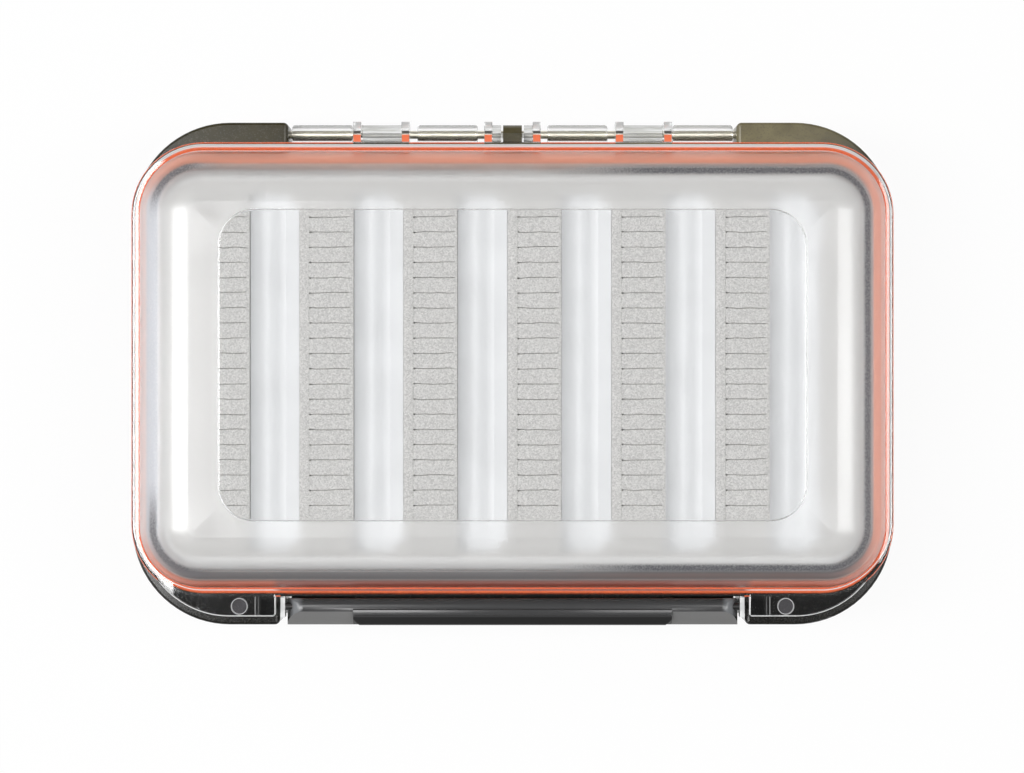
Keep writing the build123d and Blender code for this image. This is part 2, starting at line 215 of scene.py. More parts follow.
class FlyBoxCaseLook(bpy.types.PropertyGroup):
    frame_colour: FloatVectorProperty(
        name="Frame colour",
        description="Graphite plastic of the middle frame",
        default=(0.010, 0.0098, 0.009),
        **COLOUR,
    )
    sparkle: FloatProperty(
        name="Sparkle", description="Strength of the metal flake in the frame", default=0.7, **SHARE
    )
    latch_colour: FloatVectorProperty(
        name="Latch colour",
        description="Black plastic of the latches",
        default=(0.022, 0.022, 0.022),
        **COLOUR,
    )
    # Satin grey of the latches' sloping flats, partly painted light from the front.
    lit_flat_colour: FloatVectorProperty(
        name="Matte colour",
        description="Satin sloping flats of the latches",
        default=(0.18, 0.18, 0.178),
        **COLOUR,
    )
    seal_colour: FloatVectorProperty(
        name="Seal colour", description="Orange silicone of the seals", default=(0.93, 0.16, 0.045), **COLOUR
    )
    pin_colour: FloatVectorProperty(
        name="Pin colour", description="Stainless steel of the pins", default=(0.90, 0.86, 0.74), **COLOUR
    )
    edge_round: FloatProperty(
        name="Edge round",
        description="Rounding of the latch's edges",
        default=0.22 * MM,
        min=0.02 * MM,
        max=1 * MM,
        **LENGTH,
    )


class FlyBoxInsertLook(bpy.types.PropertyGroup):
    tray_colour: FloatVectorProperty(
        name="Tray colour", description="White plastic of the trays", default=(0.93, 0.94, 0.955), **COLOUR
    )
    foam_colour: FloatVectorProperty(
        name="Foam colour", description="Grey of the foam", default=(0.775, 0.765, 0.75), **COLOUR
    )
    foam_speckle: FloatProperty(
        name="Foam speckle", description="How much the foam's cells vary in colour", default=0.9, **SHARE
    )
    slit_pitch: FloatProperty(
        name="Slit pitch", description="Distance from one slit to the next", default=3.046 * MM, **LENGTH
    )
    first_slit: FloatProperty(
        name="First slit",
        description="From the strip's rear end to its first slit",
        default=3.8 * MM,
        **LENGTH,
    )
    slit_count: IntProperty(name="Slits", description="Slits in each foam strip", default=23, min=1, max=60)
    slit_width: FloatProperty(
        name="Slit width", description="Width of the closed slit's mouth", default=0.035 * MM, **LENGTH
    )
    slit_depth: FloatProperty(
        name="Slit depth", description="How deep the slits are cut", default=3.2 * MM, **LENGTH
    )
    slit_wave: FloatProperty(
        name="Slit wave",
        description="How far a slit wanders from a straight line",
        default=0.13 * MM,
        **LENGTH,
    )


class FlyBoxStageLook(bpy.types.PropertyGroup):
    floor_colour: FloatVectorProperty(
        name="Floor colour", description="Pale studio floor", default=(0.95, 0.95, 0.95), **COLOUR
    )
    floor_glow: FloatProperty(
        name="Floor white",
        description="Share of plain white in the floor as it is seen",
        default=0.93,
        **SHARE,
    )
    room_light: FloatProperty(
        name="Room light", description="Brightness of the dark room", default=0.13, min=0, max=3
    )
    left_light: FloatProperty(
        name="Left light", description="Power of the left softbox", default=6.0, **POWER
    )
    right_light: FloatProperty(
        name="Right light", description="Power of the right softbox", default=3.4, **POWER
    )
    left_wall: FloatProperty(
        name="Left wall", description="Brightness of the room's left wall", default=1.3, min=0, max=5
    )
    right_wall: FloatProperty(
        name="Right wall", description="Brightness of the room's right wall", default=0.6, min=0, max=5
    )
    camera_height: FloatProperty(
        name="Camera height",
        description="Camera above the floor",
        default=0.677,
        min=0.1,
        max=5,
        unit="LENGTH",
    )


def look(name):
    """The scene's settings of one group."""
    return getattr(bpy.context.scene, name)


# ---------------------------------------------------------------- the lid's finish
# Outlines seen from above, in millimetres: half length, half depth, corner radius and the middle's Y.
LID_OUTLINE = (76.3, 45.5, 14.4, 0.8)
WINDOW_OUTLINE = (57.85, 30.65, 7.2, 1.6)
PLATE_OUTLINE = (76.3, 50.4, 19.6, 0.0)

# The dome's rounded shoulder turns about a line this far in from the lid's outline and this high.
SHOULDER_INSET = 12.5
SHOULDER_HEIGHT = 10.1

# The round ejector mark on each front plate, and the hinge barrels' spacing along the pin.
MARK_X = 54.7
MARK_Y = -46.6
BARREL_SPACING = 13.125

# Rings on the lid where painted lines, painted seal reflections and glows, painted shade and a painted
# lighter band lie: from, to and soft edge, in millimetres in from its outline.
RINGS = {
    "front painted rim line": (0.45, 0.65, 0.1),
    "rear painted rim line": (0.6, 1.05, 0.15),
    "inner painted rim line": (1.72, 1.9, 0.1),
    "seal reflection": (2.2, 3.9, 0.3),
    "wide seal reflection": (2.2, 4.9, 0.3),
    "foot glow": (2.4, 3.6, 0.2),
    "rear glow": (2.4, 4.7, 0.3),
    "right glow": (3.3, 5.2, 0.35),
    "rim shade": (3.9, 5.7, 0.3),
    "side shade": (3.9, 6.5, 0.4),
    "corner shade": (4.6, 6.2, 0.4),
    "right shade": (5.6, 7.1, 0.45),
    "shoulder": (6.1, 8.6, 0.5),
}

# Colours painted over the clear plastic: painted shade, painted highlights and painted reflections of the
# seal; only the ejector mark's grey is the plastic's own.
WINDOW_EDGE_PAINTED_SHADE = (0.2, 0.19, 0.17)
FLAT_TOP_PAINTED_SHADE = (0.8, 0.8, 0.8)
RIM_SHADE_BLACK = (0.03, 0.029, 0.03)
SIDE_SHADE_BLUE = (0.62, 0.64, 0.68)
WALL_PAINTED_SHADE_GREY = (0.16, 0.16, 0.175)
FRONT_GLOW = (0.9, 0.15, 0.05)
LATCH_GLOW = (0.5, 0.07, 0.025)
REAR_GLOW = (1.0, 0.36, 0.2)
RIGHT_GLOW = (0.95, 0.4, 0.28)
KNUCKLE_STREAK_HIGHLIGHT = (0.66, 0.66, 0.62)
RIM_LINE_PAINTED_SHADE = (0.02, 0.01, 0.01)
PLATE_PAINTED_SHADE = (0.3, 0.3, 0.31)
EDGE_HIGHLIGHT_WHITE = (1.0, 1.0, 1.0)
MARK_GREY = (0.5, 0.48, 0.52)
CHEEK_CAP_SHADE = (0.05, 0.045, 0.04)


def scaled_colour(colour, *shares):
    """A colour with its channels scaled, by one share for all or by one for each."""
    shares = shares * 3 if len(shares) == 1 else shares
    return [channel * share for channel, share in zip(colour, shares)]


def front_plate_shares(tree, x, y, length, height, inset):
    """Shares of a front plate's painted shade, of the painted highlights on its edges and of its ejector
    mark.
    """
    outside_rim = times(tree, ramp(tree, inset, 0.15, -0.1), ramp(tree, y, -20.0, -26.0))
    plate = times(tree, outside_rim, ramp(tree, length, 47.0, 47.3), band(tree, height, 6.4, 8.7))
    plate_inset = rounded_inset(tree, x, y, *PLATE_OUTLINE)
    mark_x = calc(tree, "SUBTRACT", length, MARK_X)
    mark_y = calc(tree, "ADD", y, -MARK_Y)
    mark = calc(tree, "SQRT", calc(tree, "MULTIPLY_ADD", mark_x, mark_x, times(tree, mark_y, mark_y)))
    clear_of_wall = largest(tree, ramp(tree, height, 7.1, 6.9), ramp(tree, height, 7.9, 8.1))
    # Painted highlights along the plate's outline, its inner end, round the ejector mark and on two lines
    # across it.
    edges = largest(
        tree,
        times(tree, band(tree, plate_inset, 1.76, 2.0), clear_of_wall),
        band(tree, length, 47.3, 47.6),
        times(tree, band(tree, mark, 1.5, 1.66, 0.06), 0.55),
        times(tree, band(tree, length, 51.45, 51.58, 0.05), 0.4),
        times(tree, band(tree, length, 50.82, 50.9, 0.05), 0.3),
    )
    painted_highlight = times(tree, plate, edges, look("fly_box_lid").edge_white)
    return plate, painted_highlight, times(tree, plate, ramp(tree, mark, 1.5, 1.4), 0.08)


def hinge_shares(tree, place, y, length, height):
    """Shares of painted light on the hinge: the cheeks' painted glow of the seal, their painted dark band
    and painted white, and painted highlights with streaky lines on the barrels and knuckles.
    """
    along = calc(tree, "PINGPONG", length, BARREL_SPACING)
    groups = ramp(tree, length, 34.0, 33.0)
    cheek = times(tree, band(tree, along, 4.1, 5.6), groups, band(tree, height, 8.0, 8.8))
    # Painted orange glow of the seal on the cheeks, a painted dark band and painted white behind it; the
    # barrels and knuckles get painted highlights.
    glow = times(tree, cheek, band(tree, y, 46.35, 47.8), 0.95)
    cap_shade = times(tree, cheek, band(tree, y, 47.95, 48.55), 0.95)
    clear = times(tree, cheek, band(tree, y, 48.8, 50.6), 0.4)
    barrel_highlight = times(tree, band(tree, y, 49.3, 50.15), ramp(tree, height, 2.3, 2.0))
    barrel_highlight = times(tree, barrel_highlight, ramp(tree, length, 46.0, 45.5), 0.45)
    knuckle_highlight = times(tree, ramp(tree, along, 4.1, 3.9), groups, ramp(tree, height, 3.4, 3.0))
    knuckle_highlight = times(tree, knuckle_highlight, band(tree, y, 46.9, 50.4))
    beside_lug = largest(tree, ramp(tree, length, 1.9, 2.1), band(tree, y, 48.15, 48.65))
    knuckle_highlight = times(tree, knuckle_highlight, beside_lug, 0.75)
    waves = put(tree, "ShaderNodeMapping", {0: place, "Scale": (0.12, 2.2, 2.2)}).outputs[0]
    waves = ramp(tree, grain(tree, waves, 1.0, 2.0), 0.38, 0.62)
    return glow, cap_shade, clear, barrel_highlight, knuckle_highlight, times(tree, knuckle_highlight, waves)


def clear_lid_plastic():
    """Moulded clear plastic: the dome's outside is frosted, the window and the flange are polished, and
    painted highlights, shade and seal reflections are tinted into it.
    """
    lid = look("fly_box_lid")
    finish, tree = new_finish("clear_lid_plastic")
    place, x, y, height = case_place(tree)
    length = off(tree, x)
    inset = rounded_inset(tree, x, y, *LID_OUTLINE)
    window_inset = rounded_inset(tree, x, y, *WINDOW_OUTLINE)

    def ring(name):
        """The share of one ring."""
        return band(tree, inset, *RINGS[name])

    # The frost covers the dome's outer face, and neither the flange nor the window.
    side = largest(tree, calc(tree, "SUBTRACT", SHOULDER_INSET, inset), 0.0)
    rise = largest(tree, calc(tree, "SUBTRACT", height, SHOULDER_HEIGHT), 0.0)
    shell = calc(tree, "SQRT", calc(tree, "ADD", times(tree, side, side), times(tree, rise, rise)))
    outside = times(tree, ramp(tree, shell, 9.3, 9.7), ramp(tree, shell, 11.3, 11.0))
    above_flange = ramp(tree, height, 8.9, 9.5)
    window = ramp(tree, window_inset, -0.12, -0.02)
    frost = times(tree, outside, above_flange, rest(tree, window))
    fine = grain(tree, place, 5.0, 3.0, 0.7)
    rough_frost = calc(tree, "MULTIPLY_ADD", fine, 0.06, lid.frost_roughness - 0.03)
    added = calc(tree, "SUBTRACT", rough_frost, lid.polish_roughness)
    roughness = calc(tree, "MULTIPLY_ADD", frost, added, lid.polish_roughness)

    # The four sides, and the part of the front that lies behind the latch.
    to_front = ramp(tree, y, -30.0, -42.0)
    to_rear = ramp(tree, y, 33.0, 43.0)
    to_right = ramp(tree, x, 0.0, 30.0)
    to_side = rest(tree, largest(tree, to_front, to_rear))
    at_latch = times(tree, to_front, ramp(tree, length, 48.0, 46.0))

    # Painted lines: painted highlights on the flange's edges and along the window's sides, painted shade
    # along the window's front and rear, and the flange's lines painted dark behind the latch.
    front_line = calc(tree, "MULTIPLY_ADD", to_front, -0.85, inset)
    inner_line = calc(tree, "MULTIPLY_ADD", to_front, -0.55, inset)
    painted_rim_lines = largest(
        tree,
        band(tree, front_line, *RINGS["front painted rim line"]),
        times(tree, ring("rear painted rim line"), to_rear, 0.8),
        times(tree, band(tree, inner_line, *RINGS["inner painted rim line"]), 0.8),
    )
    painted_rim_lines = times(tree, painted_rim_lines, band(tree, height, 6.6, 8.9), 0.75)
    along_side = ramp(tree, off(tree, y, WINDOW_OUTLINE[3]), 30.0, 28.6)
    window_painted_line = times(tree, band(tree, window_inset, 0.0, 0.2, 0.08), ramp(tree, height, 20.4, 20.6))
    window_painted_shade = times(tree, window_painted_line, rest(tree, along_side), 0.55)
    window_painted_highlight = times(tree, window_painted_line, along_side, 0.7)

    # Painted reflections and shade on the steep wall: the seal's orange, glows of it near the foot, and dark
    # bands where the frame lies below, all painted into the clear plastic.
    narrow, wide = ring("seal reflection"), ring("wide seal reflection")
    painted_seal_reflection = times(tree, largest(tree, narrow, times(tree, wide, rest(tree, to_front))), above_flange)
    near_side = largest(tree, to_front, to_rear, ramp(tree, x, -10.0, 60.0, 0.0, 0.65))
    painted_seal_reflection = times(tree, painted_seal_reflection, calc(tree, "MULTIPLY_ADD", near_side, 0.6, 0.4))
    speckle = ramp(tree, grain(tree, place, 2.6, 3.0, 0.7), 0.3, 0.7, 0.4, 1.6)
    fleck = calc(tree, "MULTIPLY_ADD", speckle, 0.35, 0.65)
    # Painted shade on the wall's front, left side, right side and corners, and a painted orange glow of the
    # seal on its right side.
    rim_shade = times(tree, ring("rim shade"), above_flange, to_front, 0.92)
    at_left = ramp(tree, x, 30.0, 0.0, 0.0, 0.58)
    side_shade = times(tree, ring("side shade"), above_flange, to_side, fleck, at_left)
    right_shade = times(tree, ring("right shade"), above_flange, to_right, fleck, 0.6)
    right_glow = times(tree, ring("right glow"), above_flange, to_side, to_right, 0.45)
    corner = largest(tree, ramp(tree, y, -20.0, -32.0), ramp(tree, y, 30.0, 38.0))
    corner = times(tree, corner, ramp(tree, length, 56.0, 66.0), ramp(tree, x, -30.0, 30.0, 1.0, 0.55))
    corner_shade = times(tree, ring("corner shade"), above_flange, corner, fleck, 0.62)
    wall_painted_shade = largest(tree, right_shade, corner_shade)
    # Painted orange glows of the seal: along the wall's front foot, darker behind the latch, and along its
    # rear.
    foot_glow = times(tree, ring("foot glow"), above_flange, to_front)
    foot_glow = times(tree, foot_glow, calc(tree, "MULTIPLY_ADD", at_latch, -0.07, 0.47))
    rear_glow = times(tree, ring("rear glow"), above_flange, to_rear, 0.28)
    # A painted lighter band on the shoulder, strongest at the front.
    shoulder = largest(tree, to_front, times(tree, to_rear, 0.3))
    shoulder = calc(tree, "MULTIPLY_ADD", shoulder, 0.25, 0.25)
    shoulder = times(tree, ring("shoulder"), frost, fleck, shoulder)
    # Painted white on the lid's cheeks beside the latch.
    latch_cheek_highlight = times(tree, band(tree, length, 45.4, 46.5, 0.05), ramp(tree, y, -44.7, -45.0))
    latch_cheek_highlight = times(tree, latch_cheek_highlight, ramp(tree, height, 4.6, 5.0))

    plate, painted_highlight, mark = front_plate_shares(tree, x, y, length, height, inset)
    hinge = hinge_shares(tree, place, y, length, height)
    cheek_glow, cheek_cap_shade, cheek_highlight, barrel_highlight, knuckle_highlight, knuckle_streak_highlight = hinge

    # All that scatters light, and every painted highlight, shade and seal reflection, is that much less
    # clear.
    steep = times(tree, ramp(tree, inset, 9.0, 3.5), to_side)
    scattered = calc(tree, "MULTIPLY_ADD", steep, 0.12, lid.frost_haze)
    scattered = times(tree, frost, scattered, speckle)
    haze_and_painted_light = largest(tree, scattered, painted_highlight, mark, painted_rim_lines, window_painted_shade, window_painted_highlight)
    haze_and_painted_light = largest(tree, haze_and_painted_light, cheek_glow, cheek_cap_shade, cheek_highlight, barrel_highlight, foot_glow, rear_glow, right_glow)
    haze_and_painted_light = largest(tree, haze_and_painted_light, side_shade, wall_painted_shade, shoulder, knuckle_highlight)
    haze_and_painted_light = largest(tree, haze_and_painted_light, times(tree, latch_cheek_highlight, 0.6), times(tree, rim_shade, 0.85))

    near_ends = ramp(tree, off(tree, y), 20.0, 31.0)
    crown = bump(tree, ramp(tree, inset, 7.0, 19.0), 0.7 * MM, times(tree, frost, near_ends))
    normal = bump(tree, times(tree, fine, frost), 0.03 * MM, 0.6, crown)

    # Painted reflection of the seal's orange on the steep wall, deeper at the front and darker behind the
    # latch.
    front_seal_reflection = scaled_colour(lid.seal_reflection_colour, 0.95, 0.75, 0.6)
    latch_seal_reflection = scaled_colour(lid.seal_reflection_colour, 0.5, 0.35, 0.35)
    wall = tint(tree, to_front, lid.seal_reflection_colour, tint(tree, at_latch, front_seal_reflection, latch_seal_reflection))
    colour = tint(tree, painted_seal_reflection, lid.clear_colour, wall)
    # Painted shade on the frosted flat beside the window's sides.
    flat_top_painted_shade = times(tree, frost, ramp(tree, inset, 11.0, 13.5), ramp(tree, length, 55.0, 60.0))
    # Painted shade, painted highlights and painted seal reflections laid over the clear plastic; the ejector
    # mark's grey is its own.
    layers = (
        (flat_top_painted_shade, FLAT_TOP_PAINTED_SHADE),
        (times(tree, rim_shade, 1.1), RIM_SHADE_BLACK),
        (times(tree, side_shade, 1.8), SIDE_SHADE_BLUE),
        (times(tree, wall_painted_shade, 1.6), WALL_PAINTED_SHADE_GREY),
        (times(tree, right_glow, 2.0), RIGHT_GLOW),
        (times(tree, foot_glow, 1.9), tint(tree, at_latch, FRONT_GLOW, LATCH_GLOW)),
        (times(tree, rear_glow, 2.2), REAR_GLOW),
        (knuckle_streak_highlight, KNUCKLE_STREAK_HIGHLIGHT),
        (times(tree, painted_rim_lines, at_latch, 1.33), RIM_LINE_PAINTED_SHADE),
        (times(tree, plate, 0.7), PLATE_PAINTED_SHADE),
        (painted_highlight, EDGE_HIGHLIGHT_WHITE),
        (times(tree, mark, 8.0), MARK_GREY),
        (window_painted_shade, WINDOW_EDGE_PAINTED_SHADE),
        (cheek_glow, tuple(look("fly_box_case").seal_colour)),
        (cheek_cap_shade, CHEEK_CAP_SHADE),
    )
    for share, layer in layers:
        colour = tint(tree, share, colour, layer)
    shader = put(
        tree,
        "ShaderNodeBsdfPrincipled",
        {
            "Base Color": colour,
            "Roughness": roughness,
            "IOR": 1.58,
            "Transmission Weight": rest(tree, haze_and_painted_light),
            "Normal": normal,
        },
    )

    # Light that falls through the lid onto the insert isn't dimmed as glass would dim it.
    path = put(tree, "ShaderNodeLightPath")
    passing = put(tree, "ShaderNodeBsdfTransparent", {"Color": (0.95, 0.95, 0.95, 1.0)}).outputs[0]
    lit = shader.outputs[0]
    for ray in ("Is Diffuse Ray", "Is Shadow Ray"):
        lit = put(tree, "ShaderNodeMixShader", {0: path.outputs[ray], 1: lit, 2: passing}).outputs[0]
    put(tree, "ShaderNodeOutputMaterial", {"Surface": lit})
    return finish


# ---------------------------------------------------------------- the other finishes
FLAKE_COLOUR = (0.17, 0.155, 0.12)
OLIVE_SHARES = (4.0, 3.3, 1.1)          # how much olive stray light the rear blocks take up
LIT_OLIVE_SHARES = (19.5, 17.0, 9.8)    # the same nearer the right softbox
LATCH_ROLL_SHEEN_GREY = (0.24, 0.24, 0.25)
LATCH_END_GLOSS_GREY = (0.2, 0.21, 0.22)
SHADED_STEEL = (0.07, 0.07, 0.07)


def graphite_plastic():
    """Graphite plastic with a fine metal flake, more flake and less polish towards the rear, and painted
    olive stray light on the rear blocks.
    """
    case = look("fly_box_case")
    finish, tree = new_finish("graphite_flake_plastic")
    place, x, y, _ = case_place(tree)
    flake = put(tree, "ShaderNodeTexVoronoi", {"Vector": place, "Scale": 5.5}).outputs["Color"]
    flake = put(tree, "ShaderNodeSeparateColor", {0: flake})
    bright = times(tree, ramp(tree, flake.outputs[0], 0.72, 1.0), case.sparkle)
    cloud = ramp(tree, grain(tree, place, 0.12, 3.0), 0.3, 0.7, 0.6, 1.0)
    to_rear = ramp(tree, y, 36.0, 47.0)
    ends = ramp(tree, off(tree, x), 74.0, 56.0, 0.3, 1.0)
    # Painted olive stray light on the rear blocks, brighter towards the right softbox.
    olive = scaled_colour(case.frame_colour, *OLIVE_SHARES)
    lit_olive = scaled_colour(case.frame_colour, *LIT_OLIVE_SHARES)
    olive = tint(tree, ramp(tree, x, -30.0, 40.0), olive, lit_olive)
    ground = tint(tree, times(tree, cloud, to_rear, ends), case.frame_colour, olive)
    flecked = times(tree, bright, ramp(tree, y, -38.0, 20.0, 0.25, 0.5))
    colour = tint(tree, flecked, ground, FLAKE_COLOUR)
    polish = ramp(tree, y, -38.0, 30.0, 0.07, 0.18)
    looks = {
        "Base Color": colour,
        "Metallic": times(tree, bright, 0.4),
        "Roughness": calc(tree, "MULTIPLY_ADD", flake.outputs[1], 0.08, polish),
        "IOR": 1.5,
        "Normal": bump(tree, flake.outputs[2], 0.004 * MM, 0.3),
    }
    return finished(finish, looks)


def latch_plastic():
    """Black plastic, polished on the rolls. Satin-finished sloping flats at both ends, whose grey is partly
    painted light from the front; a painted sheen on the rolls and painted gloss near their ends.
    """
    case = look("fly_box_case")
    finish, tree = new_finish("black_latch_plastic")
    place, x, y, height = case_place(tree)
    facing = put(tree, "ShaderNodeNewGeometry").outputs["True Normal"]
    facing = put(tree, "ShaderNodeSeparateXYZ", {0: facing})
    rise = off(tree, facing.outputs[2])
    sloping = times(
        tree,
        ramp(tree, rise, 0.3, 0.42),
        times(tree, ramp(tree, rise, 0.93, 0.85), ramp(tree, facing.outputs[1], -0.35, -0.5)),
    )
    ends = ramp(tree, off(tree, x), 31.9, 32.0)
    satin_and_lit = times(tree, sloping, ends)
    pores = grain(tree, place, 6.0, 2.0)
    turned = {0: place, "Rotation": (0, 0, 0.7), "Scale": (0.25, 3.0, 1)}
    turned = put(tree, "ShaderNodeMapping", turned).outputs[0]
    scuffs = put(tree, "ShaderNodeTexNoise", {"Vector": turned, "Scale": 1.4, "Detail": 2.0}).outputs["Fac"]
    scratch = times(tree, ramp(tree, scuffs, 0.66, 0.7), 0.05)
    # Satin-finished sloping flats: their roughness is the finish, their grey partly painted light from the
    # front.
    colour = tint(tree, satin_and_lit, case.latch_colour, case.lit_flat_colour)
    # Painted gloss near both ends of the latch, and a painted sheen on the tops of its rolls.
    end_painted_gloss = times(tree, band(tree, off(tree, x), 42.4, 44.2, 0.7), ramp(tree, height, 6.6, 7.4))
    end_painted_gloss = times(tree, end_painted_gloss, calc(tree, "SUBTRACT", 0.8, satin_and_lit, clamp=True))
    roll_painted_sheen = times(tree, ramp(tree, rise, 0.5, 0.85), ramp(tree, height, 6.4, 7.2))
    roll_painted_sheen = times(tree, roll_painted_sheen, ramp(tree, y, -48.9, -48.5), 0.13)
    colour = tint(tree, roll_painted_sheen, colour, LATCH_ROLL_SHEEN_GREY)
    colour = tint(tree, end_painted_gloss, colour, LATCH_END_GLOSS_GREY)
    base_roughness = calc(tree, "MULTIPLY_ADD", pores, 0.06, calc(tree, "MULTIPLY_ADD", satin_and_lit, 0.36, 0.17))
    looks = {
        "Base Color": colour,
        "Roughness": calc(tree, "ADD", base_roughness, scratch),
        "IOR": 1.5,
        "Normal": bump(tree, pores, 0.01 * MM, 0.05),
    }
    return finished(finish, looks)


def silicone_rubber():
    """Orange silicone, slightly translucent and dusty."""
    case = look("fly_box_case")
    finish, tree = new_finish("orange_silicone_rubber")
    place = case_place(tree)[0]
    dust = grain(tree, place, 1.2, 4.0)
    darker = scaled_colour(case.seal_colour, 0.86)
    looks = {
        "Base Color": tint(tree, ramp(tree, dust, 0.35, 0.65), case.seal_colour, darker),
        "Roughness": calc(tree, "MULTIPLY_ADD", dust, 0.2, 0.35),
        "IOR": 1.41,
        "Subsurface Weight": 0.15,
        "Subsurface Radius": (1.2 * MM, 0.4 * MM, 0.2 * MM),
        "Subsurface Scale": 1.0,
        "Normal": bump(tree, dust, 0.02 * MM, 0.3),
    }
    return finished(finish, looks)


def pin_steel():
    """Drawn stainless steel with fine lines round the pin; the latch pins at the front are painted in shade.
    """
    case = look("fly_box_case")
    finish, tree = new_finish("drawn_pin_steel")
    place, _, y, _ = case_place(tree)
    drawn = put(tree, "ShaderNodeMapping", {0: place, "Scale": (0.4, 9.0, 9.0)}).outputs[0]
    lines = put(tree, "ShaderNodeTexNoise", {"Vector": drawn, "Scale": 1.0, "Detail": 2.0}).outputs["Fac"]
    bright = tint(tree, lines, case.pin_colour, scaled_colour(case.pin_colour, 0.8))
    # Painted shade: the steel turns dark towards the front, where the latch pins lie.
    steel = tint(tree, ramp(tree, y, -20.0, 20.0), SHADED_STEEL, bright)
    looks = {
        "Base Color": steel,
        "Metallic": 1.0,
        "Roughness": calc(tree, "MULTIPLY_ADD", lines, 0.15, 0.36),
        "Normal": bump(tree, lines, 0.004 * MM, 0.3),
    }
    return finished(finish, looks)


def tray_plastic():
    """White moulded plastic with a soft sheen."""
    insert = look("fly_box_insert")
    finish, tree = new_finish("white_tray_plastic")
    place = case_place(tree)[0]
    flow = grain(tree, place, 0.08, 3.0)
    cooler = scaled_colour(insert.tray_colour, 0.95)
    looks = {
        "Base Color": tint(tree, ramp(tree, flow, 0.35, 0.65), insert.tray_colour, cooler),
        "Roughness": calc(tree, "MULTIPLY_ADD", flow, 0.1, 0.4),
        "IOR": 1.49,
        "Normal": bump(tree, grain(tree, place, 4.0, 2.0), 0.01 * MM, 0.2),
    }
    return finished(finish, looks)


def closed_cell_foam():
    """Grey closed-cell foam: fine cells, speckled, fully matt."""
    insert = look("fly_box_insert")
    finish, tree = new_finish("grey_closed_cell_foam")
    place = case_place(tree)[0]
    cells = put(tree, "ShaderNodeTexVoronoi", {"Vector": place, "Scale": 4.2, "Randomness": 1.0})
    shade = put(tree, "ShaderNodeSeparateColor", {0: cells.outputs["Color"]}).outputs[0]
    mottle = calc(tree, "MULTIPLY_ADD", grain(tree, place, 2.4, 4.0, 0.75), 1.2, -0.1)
    speckle = calc(tree, "MULTIPLY_ADD", shade, 0.45, times(tree, mottle, 0.55))
    darker = scaled_colour(insert.foam_colour, 1 - 0.45 * insert.foam_speckle)
    lighter = [min(1.0, channel * (1 + 0.3 * insert.foam_speckle)) for channel in insert.foam_colour]
    pits = rest(tree, cells.outputs["Distance"])
    looks = {
        "Base Color": tint(tree, speckle, darker, lighter),
        "Roughness": calc(tree, "MULTIPLY_ADD", shade, 0.1, 0.86),
        "IOR": 1.45,
        "Specular IOR Level": 0.25,
        "Normal": bump(tree, calc(tree, "ADD", pits, speckle), 0.05 * MM, 0.5),
    }
    return finished(finish, looks)


def studio_floor():
    """A pale floor that is seen as plain white and keeps the case's shadow."""
    stage = look("fly_box_stage")
    finish, tree = new_finish("pale_studio_floor")
    path = put(tree, "ShaderNodeLightPath")
    rays = ("Is Camera Ray", "Is Glossy Ray", "Is Transmission Ray")
    seen = largest(tree, *(path.outputs[ray] for ray in rays))
    matt = put(tree, "ShaderNodeBsdfDiffuse", {"Color": (*stage.floor_colour, 1.0)})
    white = put(tree, "ShaderNodeEmission", {"Color": (1, 1, 1, 1), "Strength": 1.0})
    share = times(tree, seen, stage.floor_glow)
    mixed = put(tree, "ShaderNodeMixShader", {0: share, 1: matt.outputs[0], 2: white.outputs[0]})
    put(tree, "ShaderNodeOutputMaterial", {"Surface": mixed.outputs[0]})
    return finish


def wear(node_names, finish):
    """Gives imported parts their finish."""
    for name in node_names:
        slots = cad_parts[name].material_slots
        if not slots:
            raise RuntimeError(f"{name} has no material slot")
        for material_slot in slots:
            material_slot.material = finish


# ---------------------------------------------------------------- meshes
MERGE_DISTANCE = 0.002 * MM
FLAT_ANGLE = math.radians(0.5)      # faces that meet at less are one flat face
SHARP_ANGLE = math.radians(28)      # edges that turn by more are rounded
SMOOTH_ANGLE = math.radians(35)
SEAL_ROUND = 0.35 * MM
FOAM_ROUND = 0.12 * MM


def add_piece(name, mesh, body, node):
    """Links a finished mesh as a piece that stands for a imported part."""
    piece = bpy.data.objects.new(name, mesh)
    bpy.context.scene.collection.objects.link(piece)
    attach(piece, body)
    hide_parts(node)
    return piece


def rounded_copy(node, width, segments):
    """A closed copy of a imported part's mesh with its sharp edges rounded."""
    shape = bmesh.new()
    shape.from_mesh(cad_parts[node].data)
    bmesh.ops.remove_doubles(shape, verts=shape.verts, dist=MERGE_DISTANCE)
    bmesh.ops.dissolve_limit(
        shape, angle_limit=FLAT_ANGLE, verts=shape.verts, edges=shape.edges, delimit={"NORMAL"}
    )
    inner = [edge for edge in shape.edges if len(edge.link_faces) == 2]
    sharp = [edge for edge in inner if edge.calc_face_angle(0) > SHARP_ANGLE]
    bmesh.ops.bevel(
        shape,
        geom=sharp,
        offset=width,
        offset_type="OFFSET",
        segments=segments,
        profile=0.5,
        affect="EDGES",
        clamp_overlap=True,
    )
    bmesh.ops.recalc_face_normals(shape, faces=shape.faces)
    mesh = bpy.data.meshes.new(node + "_rounded")
    shape.to_mesh(mesh)
    shape.free()
    mesh.set_sharp_from_angle(angle=SMOOTH_ANGLE)
    for face in mesh.polygons:
        face.use_smooth = True
    return mesh


def wear_mesh(mesh, finish):
    """Gives a new mesh its one finish."""
    mesh.materials.clear()
    mesh.materials.append(finish)


